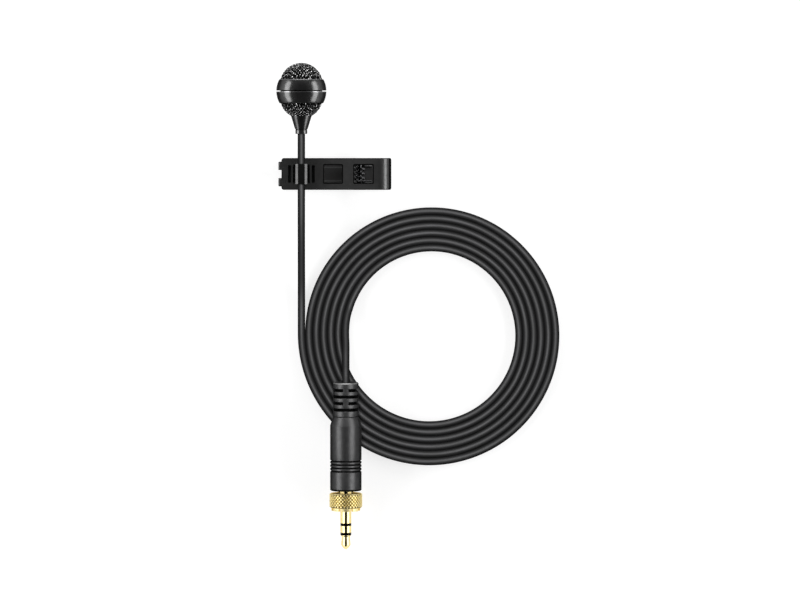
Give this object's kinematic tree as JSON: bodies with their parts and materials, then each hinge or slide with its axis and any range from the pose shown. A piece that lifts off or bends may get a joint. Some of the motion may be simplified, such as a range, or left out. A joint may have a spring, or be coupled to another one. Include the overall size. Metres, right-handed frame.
{
  "type": "lavalier microphone",
  "caption": "Ball-shaped clip-on microphone on a tapered neck, held by a sprung tie clip, with a coiled thin cable that ends in a gold screw-lock plug.",
  "frame": {"origin": "on the clip's flat back, under the cable's axis and on the clip's centre line", "axes": "+Y along the cable and the neck towards the head's front, +X towards the clip's lever, +Z out of the clip's back through the cable"},
  "size_m": [0.0915, 0.1574, 0.0162],
  "materials": {
    "ring_lacquer": "satin black lacquer on brass",
    "mesh_black": "satin black mesh",
    "barrel_metal": "turned",
    "seat_rubber": "matte",
    "can_metal": "drawn",
    "electrode_brass": "plain",
    "insulator_pale": "matte",
    "board_green": "solder resist",
    "foam_black": "open-cell foam",
    "wire_red": "insulated core",
    "clip_black": "satin black coating on steel",
    "pin_steel": "dark steel",
    "cable_jacket": "satin black jacket",
    "boot_rubber": "satin",
    "shell_black": "satin black",
    "gold_plate": "polished gold plate",
    "insulator_black": "moulded",
    "terminal_tin": "tinned"
  },
  "bodies": {
    "microphone": {"front_ring": "ring_lacquer", "rear_ring": "ring_lacquer", "front_grille": "mesh_black", "rear_grille": "mesh_black", "capsule_barrel": "barrel_metal", "capsule_seat": "seat_rubber", "capsule_can": "can_metal", "capsule_diaphragm": "electrode_brass", "capsule_backplate": "electrode_brass", "capsule_spacer": "insulator_pale", "capsule_board": "board_green", "front_foam": "foam_black", "rear_foam": "foam_black", "neck_spider": "barrel_metal", "neck": "ring_lacquer", "cable_stop": "can_metal", "cable_head_end": "cable_jacket", "head_wires": "wire_red", "cable_lead": "cable_jacket", "cable_coil": "cable_jacket", "cable_tail": "cable_jacket", "plug_boot": "boot_rubber", "plug_shell": "shell_black", "plug_sleeve": "gold_plate", "insulator_rear": "insulator_black", "plug_ring": "gold_plate", "insulator_front": "insulator_black", "plug_tip": "gold_plate", "plug_core": "insulator_black", "sleeve_clamp": "terminal_tin", "plug_terminals": "terminal_tin", "plug_wires": "wire_red", "cable_plug_end": "cable_jacket"},
    "clip_front": {"front_jaw": "clip_black", "cable_keeper": "clip_black", "hinge_pin": "pin_steel", "torsion_spring": "pin_steel"},
    "clip_rear": {"rear_jaw": "clip_black"},
    "lock": {"lock_ring": "gold_plate"}
  },
  "joints": [
    {"name": "clip_slide", "type": "slide", "parent": "microphone", "child": "clip_front", "axis": [0, 1, 0], "range_m": [-0.005, 0.007]},
    {"name": "jaw_open", "type": "hinge", "parent": "clip_front", "child": "clip_rear", "pos_m": [0.0188, 0, 0.00335], "axis": [0, -1, 0], "range_deg": [0, 26], "stiffness_Nm_per_rad": 0.05, "springref_deg": -20.05, "deforming": ["torsion_spring"]},
    {"name": "lock_ring_spin", "type": "hinge", "parent": "microphone", "child": "lock", "pos_m": [0.0144, -0.10571, 0.00548], "axis": [0, -0.9962, -0.0868], "continuous": true}
  ]
}
